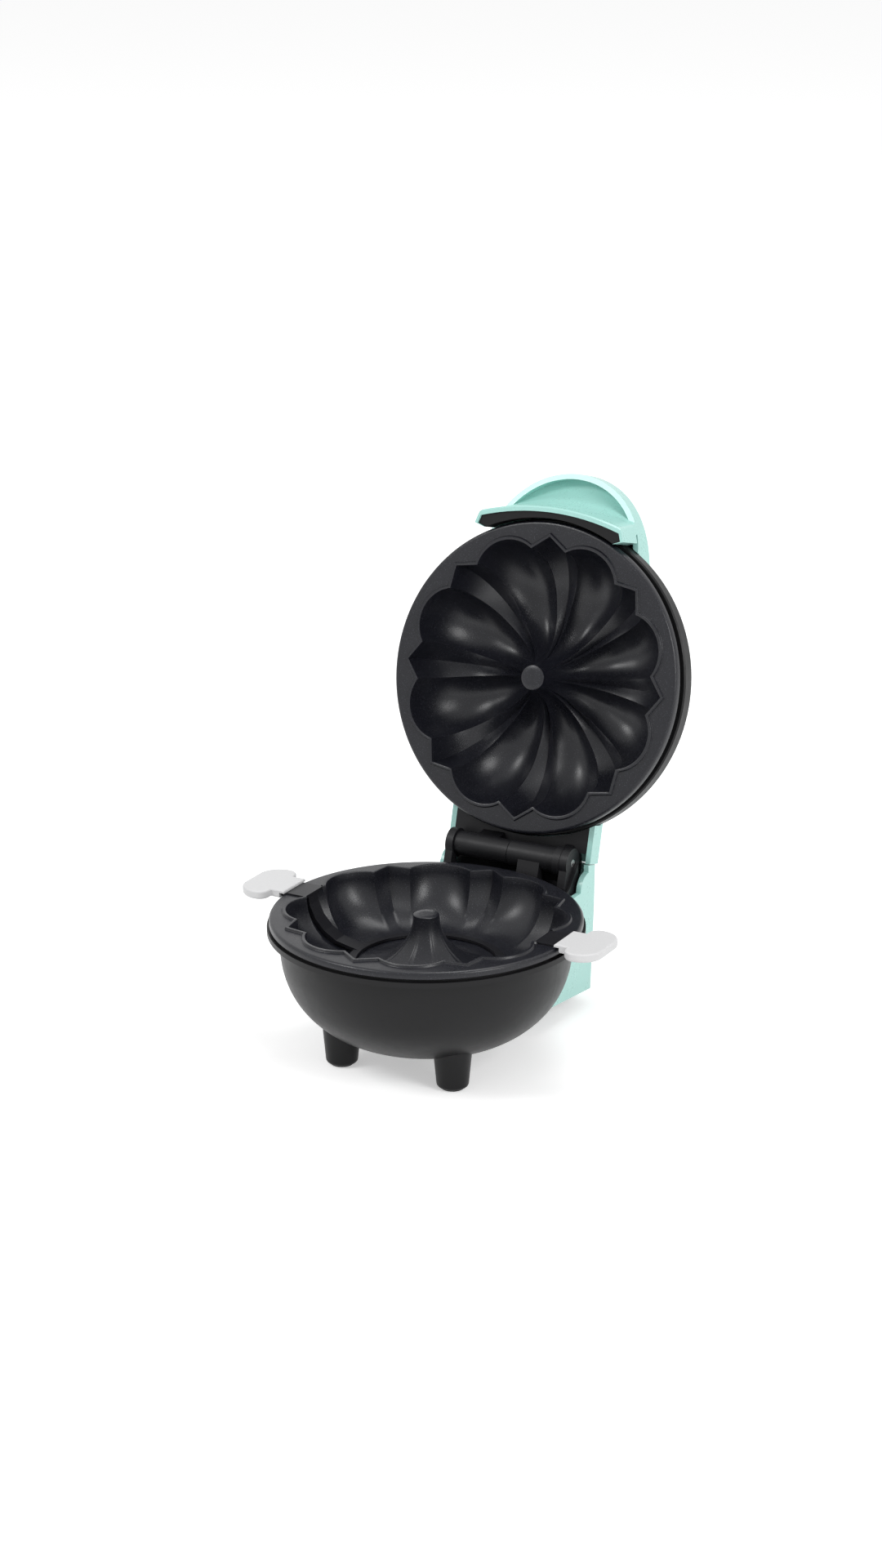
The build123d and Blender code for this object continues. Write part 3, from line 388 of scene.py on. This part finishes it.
# each finish: its effect, the values given to it, the shader's own, and the bump's
# strength and distance
recipes = {
    "mintGloss": {
        "effect": "grain",
        "values": {"Colour": (0.385, 0.69, 0.635, 1), "Grain Size": 1500.0,
                   "Shade Change": 0.05, "Smooth": 0.24, "Rough": 0.34},
        "shader": {"IOR": 1.5, "Coat Weight": 0.25, "Coat Roughness": 0.12},
        "bump": (0.05, 0.00003),
    },
    "blackSatin": {
        "effect": "grain",
        "values": {"Colour": (0.0075, 0.0075, 0.0082, 1), "Grain Size": 2400.0,
                   "Shade Change": 0.2, "Smooth": 0.33, "Rough": 0.46},
        "shader": {"IOR": 1.46, "Specular IOR Level": 0.26},
        "bump": (0.22, 0.00005),
    },
    "blackGrained": {
        "effect": "grain",
        "values": {"Colour": (0.009, 0.009, 0.0105, 1), "Grain Size": 1800.0,
                   "Shade Change": 0.2, "Smooth": 0.38, "Rough": 0.52},
        "shader": {"IOR": 1.46, "Specular IOR Level": 0.3},
        "bump": (0.45, 0.00008),
    },
    "nonStick": {
        "effect": "flecks",
        "values": {"Colour": (0.0075, 0.008, 0.0115, 1),
                   "Fleck Colour": (0.1, 0.103, 0.125, 1), "Fleck Share": 0.6,
                   "Smooth": 0.24, "Rough": 0.4},
        "shader": {"IOR": 1.5, "Specular IOR Level": 0.42},
        "bump": (0.45, 0.00008),
    },
    "strapCoating": {
        "effect": "flecks",
        "values": {"Colour": (0.009, 0.009, 0.011, 1),
                   "Fleck Colour": (0.06, 0.06, 0.07, 1), "Fleck Share": 0.35,
                   "Smooth": 0.3, "Rough": 0.44},
        "shader": {"IOR": 1.5, "Specular IOR Level": 0.3},
        "bump": (0.2, 0.00005),
    },
    "paleTab": {
        "effect": "grain",
        "values": {"Colour": (0.66, 0.66, 0.665, 1), "Grain Size": 2000.0,
                   "Shade Change": 0.05, "Smooth": 0.42, "Rough": 0.55},
        "shader": {"IOR": 1.45, "Specular IOR Level": 0.4},
        "bump": (0.15, 0.00005),
    },
    "blackRubber": {
        "effect": "grain",
        "values": {"Colour": (0.02, 0.02, 0.02, 1), "Grain Size": 1300.0,
                   "Shade Change": 0.25, "Smooth": 0.7, "Rough": 0.88},
        "shader": {"IOR": 1.5, "Specular IOR Level": 0.3},
        "bump": (0.5, 0.0001),
    },
    "heaterSteel": {
        "effect": "metal",
        "values": {"Colour": (0.34, 0.32, 0.3, 1), "Stain Colour": (0.14, 0.09, 0.06, 1),
                   "Stain": 0.6, "Smooth": 0.35, "Rough": 0.6},
        "shader": {"Metallic": 1.0},
        "bump": (0.2, 0.00005),
    },
    "platedSteel": {
        "effect": "metal",
        "values": {"Colour": (0.56, 0.56, 0.57, 1), "Stain Colour": (0.4, 0.38, 0.34, 1),
                   "Stain": 0.25, "Smooth": 0.2, "Rough": 0.36},
        "shader": {"Metallic": 1.0},
        "bump": (0.1, 0.00004),
    },
    "brightSheet": {
        "effect": "metal",
        "values": {"Colour": (0.78, 0.78, 0.79, 1), "Stain Colour": (0.6, 0.57, 0.5, 1),
                   "Stain": 0.2, "Smooth": 0.24, "Rough": 0.42},
        "shader": {"Metallic": 1.0},
        "bump": (0.1, 0.00004),
    },
    "ceramicWhite": {
        "effect": "grain",
        "values": {"Colour": (0.74, 0.72, 0.67, 1), "Grain Size": 1700.0,
                   "Shade Change": 0.08, "Smooth": 0.35, "Rough": 0.55},
        "shader": {"IOR": 1.5},
        "bump": (0.2, 0.00006),
    },
    "redLens": {
        "effect": "grain",
        "values": {"Colour": (0.5, 0.04, 0.02, 1), "Grain Size": 900.0, "Shade Change": 0.1,
                   "Smooth": 0.08, "Rough": 0.16},
        "shader": {"IOR": 1.49, "Coat Weight": 0.5},
        "bump": (0.05, 0.00003),
    },
}
finishes = {name: makeFinish(name, **recipe) for name, recipe in recipes.items()}

finishOf = {
    "mintGloss": ["rear_spine", "lid_cover"],
    "blackSatin": ["base_bowl", "front_left_foot", "front_right_foot", "lid_ring",
                   "handle_underside", "spine_bottom_cover"],
    "blackGrained": ["hinge_bracket", "lid_knuckles", "arm_inner_cover"],
    "nonStick": ["lower_plate", "upper_plate"],
    "strapCoating": ["lifting_strap"],
    "paleTab": ["left_tab", "right_tab"],
    "blackRubber": ["front_foot_pads", "rear_feet", "inlet_bush"],
    "heaterSteel": ["lower_heating_element", "upper_heating_element"],
    "platedSteel": ["base_screws", "bottom_cover_screws", "upper_shield_screws", "hinge_pin",
                    "thermal_fuse", "thermostat", "lower_element_clamps",
                    "upper_element_clamps"],
    "brightSheet": ["lower_heat_shield", "upper_heat_shield"],
    "ceramicWhite": ["terminal_block", "indicator_holder"],
    "redLens": ["indicator_lenses"],
}
for finish, nodes in finishOf.items():
    for node in nodes:
        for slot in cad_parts[node].material_slots:
            slot.material = finishes[finish]
print("finishes assigned")

# baking plates: each is one surface, walked round its flutes column by column
flutes = {
    "count": 8,
    "tip": 0.059,
    "valley": 0.0538,
    "lobe": 0.059,
    "wedgeHalf": 8.5,
    "narrowest": 0.45,  # share of a wedge's angle that is left at the axis
    "groove": 0.45,
    "grooveCurve": 1.2,
    "petalCurve": 0.8,
    "lobeSteps": 26,
    "wedgeSteps": 12,
    "wallSteps": 22,
    "wallSpacing": 0.8,
    "creaseAngle": 38,
}
casting = {
    "wall": 0.002,
    "backSteps": 12,
    "dishInset": 0.0045,
    "flangeRise": 0.001,
    "rimWall": 0.0022,
    "rimCorner": 0.0002,
    "bevel": [(0, 0.0018), (0.0003, 0.0013), (0.0008, 0.00095), (0.0014, 0.0009)],
    "lip": [(0.0018, 0.0009), (0.0016, 0.0007), (0.0015, 0.0002), (0.0013, 0),
            (0.00035, 0), (0.0001, 0.00012), (0, 0.0004)],
    "post": 0.0053,
    "postDrop": 0.0005,
    "postShoulder": 0.001,
    "postEdge": [(0.0001, 0.0002), (0.0004, 0)],
}
upperPlate = {
    "name": "upperFlutedPlate", "depth": 0.028, "rim": 0.0653, "edge": 0.005, "share": 1.0,
    "ringOuter": 0.0335, "ringInner": 0.0285, "ridge": 0.2, "bulge": 0.0,
    "bossEnd": 0.039, "bossHole": 0.0077, "bossTurn": 90,
}
# the lower channel keeps a flat floor, because the strap's ring lies on it
lowerPlate = {
    "name": "lowerFlutedPlate", "depth": 0.022, "rim": 0.0633, "edge": 0.0038, "share": 0.966,
    "ringOuter": 0.0343, "ringInner": 0.026, "ridge": 0.0, "bulge": 0.002,
    "bossEnd": 0.034, "bossHole": 0.0085, "bossTurn": -90,
}
bosses = {
    "count": 3, "circle": 0.016, "radius": 0.004, "hole": 0.00165, "overlap": 0.001,
    "outsideSteps": 40, "holeSteps": 24,
}
strapSlot = {"from": 0.0524, "half": 0.0071, "floor": 0.0015, "beyondRim": 0.004}


def inLid(x, y, down):
    return lidTurn @ Vector((x, y, down))


def inBase(x, y, down):
    return places["baseOrigin"] + Vector((x, y, -down))


def activate(piece):
    bpy.ops.object.select_all(action="DESELECT")
    piece.select_set(True)
    bpy.context.view_layer.objects.active = piece


def fluteColumns():
    pitch = 2 * math.pi / flutes["count"]
    columns = []
    for k in range(flutes["count"]):
        for j in range(flutes["wedgeSteps"]):
            columns.append((k * pitch, "wedge", -1 + 2 * j / flutes["wedgeSteps"]))
        for j in range(flutes["lobeSteps"]):
            columns.append(((k + 0.5) * pitch, "lobe", -1 + 2 * j / flutes["lobeSteps"]))
    return columns


def columnAngle(column, nearness):
    middle, kind, across = column
    narrowing = flutes["narrowest"] + (1 - flutes["narrowest"]) * nearness
    half = math.radians(flutes["wedgeHalf"]) * narrowing
    if kind == "wedge":
        return middle + across * half
    return middle + across * (math.pi / flutes["count"] - half)


# radius of the channel's outline: straight to each tip, an arc across each lobe
def rimRadius(column, share):
    half = math.radians(flutes["wedgeHalf"])
    across = column[2]
    if column[1] == "wedge":
        angle = abs(across) * half
        tip = Vector((flutes["tip"], 0))
        corner = Vector((flutes["valley"] * math.cos(half), flutes["valley"] * math.sin(half)))
        along = corner - tip
        reach = tip.x * math.sin(angle)
        reach /= along.y * math.cos(angle) - along.x * math.sin(angle)
        return share * (tip + along * reach).length
    span = math.pi / flutes["count"] - half
    end = Vector((flutes["valley"] * math.cos(span), flutes["valley"] * math.sin(span)))
    centre = (flutes["lobe"] ** 2 - end.length_squared) / (2 * (flutes["lobe"] - end.x))
    radius = flutes["lobe"] - centre
    angle = across * span
    inside = radius ** 2 - (centre * math.sin(angle)) ** 2
    return share * (centre * math.cos(angle) + math.sqrt(inside))


# 1 in the middle of a lobe, less towards the ridges beside it
def petalShare(column):
    across = abs(column[2])
    if column[1] == "wedge":
        return flutes["groove"] * (1 - across) ** flutes["grooveCurve"]
    return math.cos(across * math.pi / 2) ** flutes["petalCurve"]


# radius and depth along one column: back, rim, lip, outer wall, floor, inner wall, post
def plateSection(plate, column):
    quarter = math.pi / 2
    outline = rimRadius(column, plate["share"])
    ridge = 1 - petalShare(column)
    outer = plate["ringOuter"]
    inner = plate["ringInner"] + plate["bulge"] * ridge
    full = plate["depth"] * (1 - plate["ridge"] * ridge)
    rim, edge = plate["rim"], plate["edge"]
    dish = rim - casting["dishInset"]
    flange = edge - casting["flangeRise"]
    behind = plate["depth"] + casting["wall"]
    section = []
    for step in range(casting["backSteps"] + 1):
        turn = quarter * (1 - step / casting["backSteps"])
        section.append((outer + (dish - outer) * math.cos(turn),
                        flange + (behind - flange) * math.sin(turn)))
    section.append((rim - casting["rimWall"], flange))
    section.append((rim - casting["rimWall"], edge))
    section.append((rim - casting["rimCorner"], edge))
    section.append((rim, edge - casting["rimCorner"]))
    for inset, down in casting["bevel"]:
        section.append((rim - inset, down))
    for out, down in casting["lip"]:
        section.append((outline + out, down))
    mouth = casting["lip"][-1][1]
    steps = flutes["wallSteps"]
    for step in range(1, steps + 1):
        turn = quarter * (step / steps) ** flutes["wallSpacing"]
        section.append((outer + (outline - outer) * math.cos(turn),
                        mouth + (full - mouth) * math.sin(turn)))
    section.append(((outer + inner) / 2, full))
    post, shoulder = casting["post"], casting["postShoulder"]
    for step in range(steps):
        turn = quarter * (1 - step / steps) ** flutes["wallSpacing"]
        section.append((inner - (inner - post) * math.cos(turn),
                        shoulder + (full - shoulder) * math.sin(turn)))
    for inset, down in casting["postEdge"]:
        section.append((post - inset, casting["postDrop"] + down))
    section.append((post / 2, casting["postDrop"]))
    return outline, section


def plateMesh(plate, placed):
    columns = fluteColumns()
    outlines, sections = zip(*[plateSection(plate, column) for column in columns])
    rows, wide = len(sections[0]), len(columns)
    points, faces = [], []
    for r in range(rows):
        for column, outline, section in zip(columns, outlines, sections):
            radius, down = section[r]
            angle = columnAngle(column, min(1, radius / outline))
            points.append(placed(radius * math.cos(angle), radius * math.sin(angle), down))
    backMiddle, postMiddle = len(points), len(points) + 1
    points.append(placed(0, 0, plate["depth"] + casting["wall"]))
    points.append(placed(0, 0, casting["postDrop"]))
    last = (rows - 1) * wide
    for start in range(0, last, wide):
        for c in range(wide):
            d = (c + 1) % wide
            faces.append((start + c, start + d, start + wide + d, start + wide + c))
    for c in range(wide):
        d = (c + 1) % wide
        faces.append((backMiddle, d, c))
        faces.append((last + c, last + d, postMiddle))
    mesh = bpy.data.meshes.new(plate["name"])
    mesh.from_pydata(points, [], faces)
    return mesh


def buildPlate(plate, placed):
    piece = bpy.data.objects.new(plate["name"], plateMesh(plate, placed))
    bpy.context.scene.collection.objects.link(piece)
    activate(piece)
    bpy.ops.object.mode_set(mode="EDIT")
    bpy.ops.mesh.select_all(action="SELECT")
    bpy.ops.mesh.normals_make_consistent(inside=False)
    bpy.ops.object.mode_set(mode="OBJECT")
    return piece


# the tool is the object that was made last
def combine(piece, tool, operation):
    bpy.ops.object.transform_apply(location=True, rotation=True, scale=True)
    activate(piece)
    step = piece.modifiers.new("combine", "BOOLEAN")
    step.operation = operation
    step.object = tool
    bpy.ops.object.modifier_apply(modifier="combine")
    bpy.data.objects.remove(tool)


def cutStrapSlots(piece):
    length = lowerPlate["rim"] + strapSlot["beyondRim"] - strapSlot["from"]
    for side in (1, -1):
        middle = places["baseOrigin"] + Vector((side * (strapSlot["from"] + length / 2), 0, 0))
        bpy.ops.mesh.primitive_cube_add(size=1, location=middle)
        cutter = bpy.context.object
        cutter.scale = (length, 2 * strapSlot["half"], 2 * strapSlot["floor"])
        combine(piece, cutter, "DIFFERENCE")


def addBosses(piece, plate, placed):
    down = placed(0, 0, 1) - placed(0, 0, 0)
    lean = down.to_track_quat("Z", "Y").to_euler()
    start, end = plate["depth"] + bosses["overlap"], plate["bossEnd"]
    for k in range(bosses["count"]):
        angle = math.radians(plate["bossTurn"]) + 2 * math.pi * k / bosses["count"]
        x, y = bosses["circle"] * math.cos(angle), bosses["circle"] * math.sin(angle)
        bpy.ops.mesh.primitive_cylinder_add(
            vertices=bosses["outsideSteps"], radius=bosses["radius"], depth=end - start,
            location=placed(x, y, (start + end) / 2), rotation=lean)
        combine(piece, bpy.context.object, "UNION")
        bpy.ops.mesh.primitive_cylinder_add(
            vertices=bosses["holeSteps"], radius=bosses["hole"], depth=2 * plate["bossHole"],
            location=placed(x, y, end), rotation=lean)
        combine(piece, bpy.context.object, "DIFFERENCE")


def finishPiece(piece, finish, body, replaced):
    activate(piece)
    bpy.ops.object.shade_smooth_by_angle(angle=math.radians(flutes["creaseAngle"]))
    piece.data.materials.clear()
    piece.data.materials.append(finishes[finish])
    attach(piece, body)
    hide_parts(replaced)


upperPiece = buildPlate(upperPlate, inLid)
addBosses(upperPiece, upperPlate, inLid)
finishPiece(upperPiece, "nonStick", "lid", "upper_plate")
lowerPiece = buildPlate(lowerPlate, inBase)
cutStrapSlots(lowerPiece)
addBosses(lowerPiece, lowerPlate, inBase)
finishPiece(lowerPiece, "nonStick", "base", "lower_plate")
print("plates built")
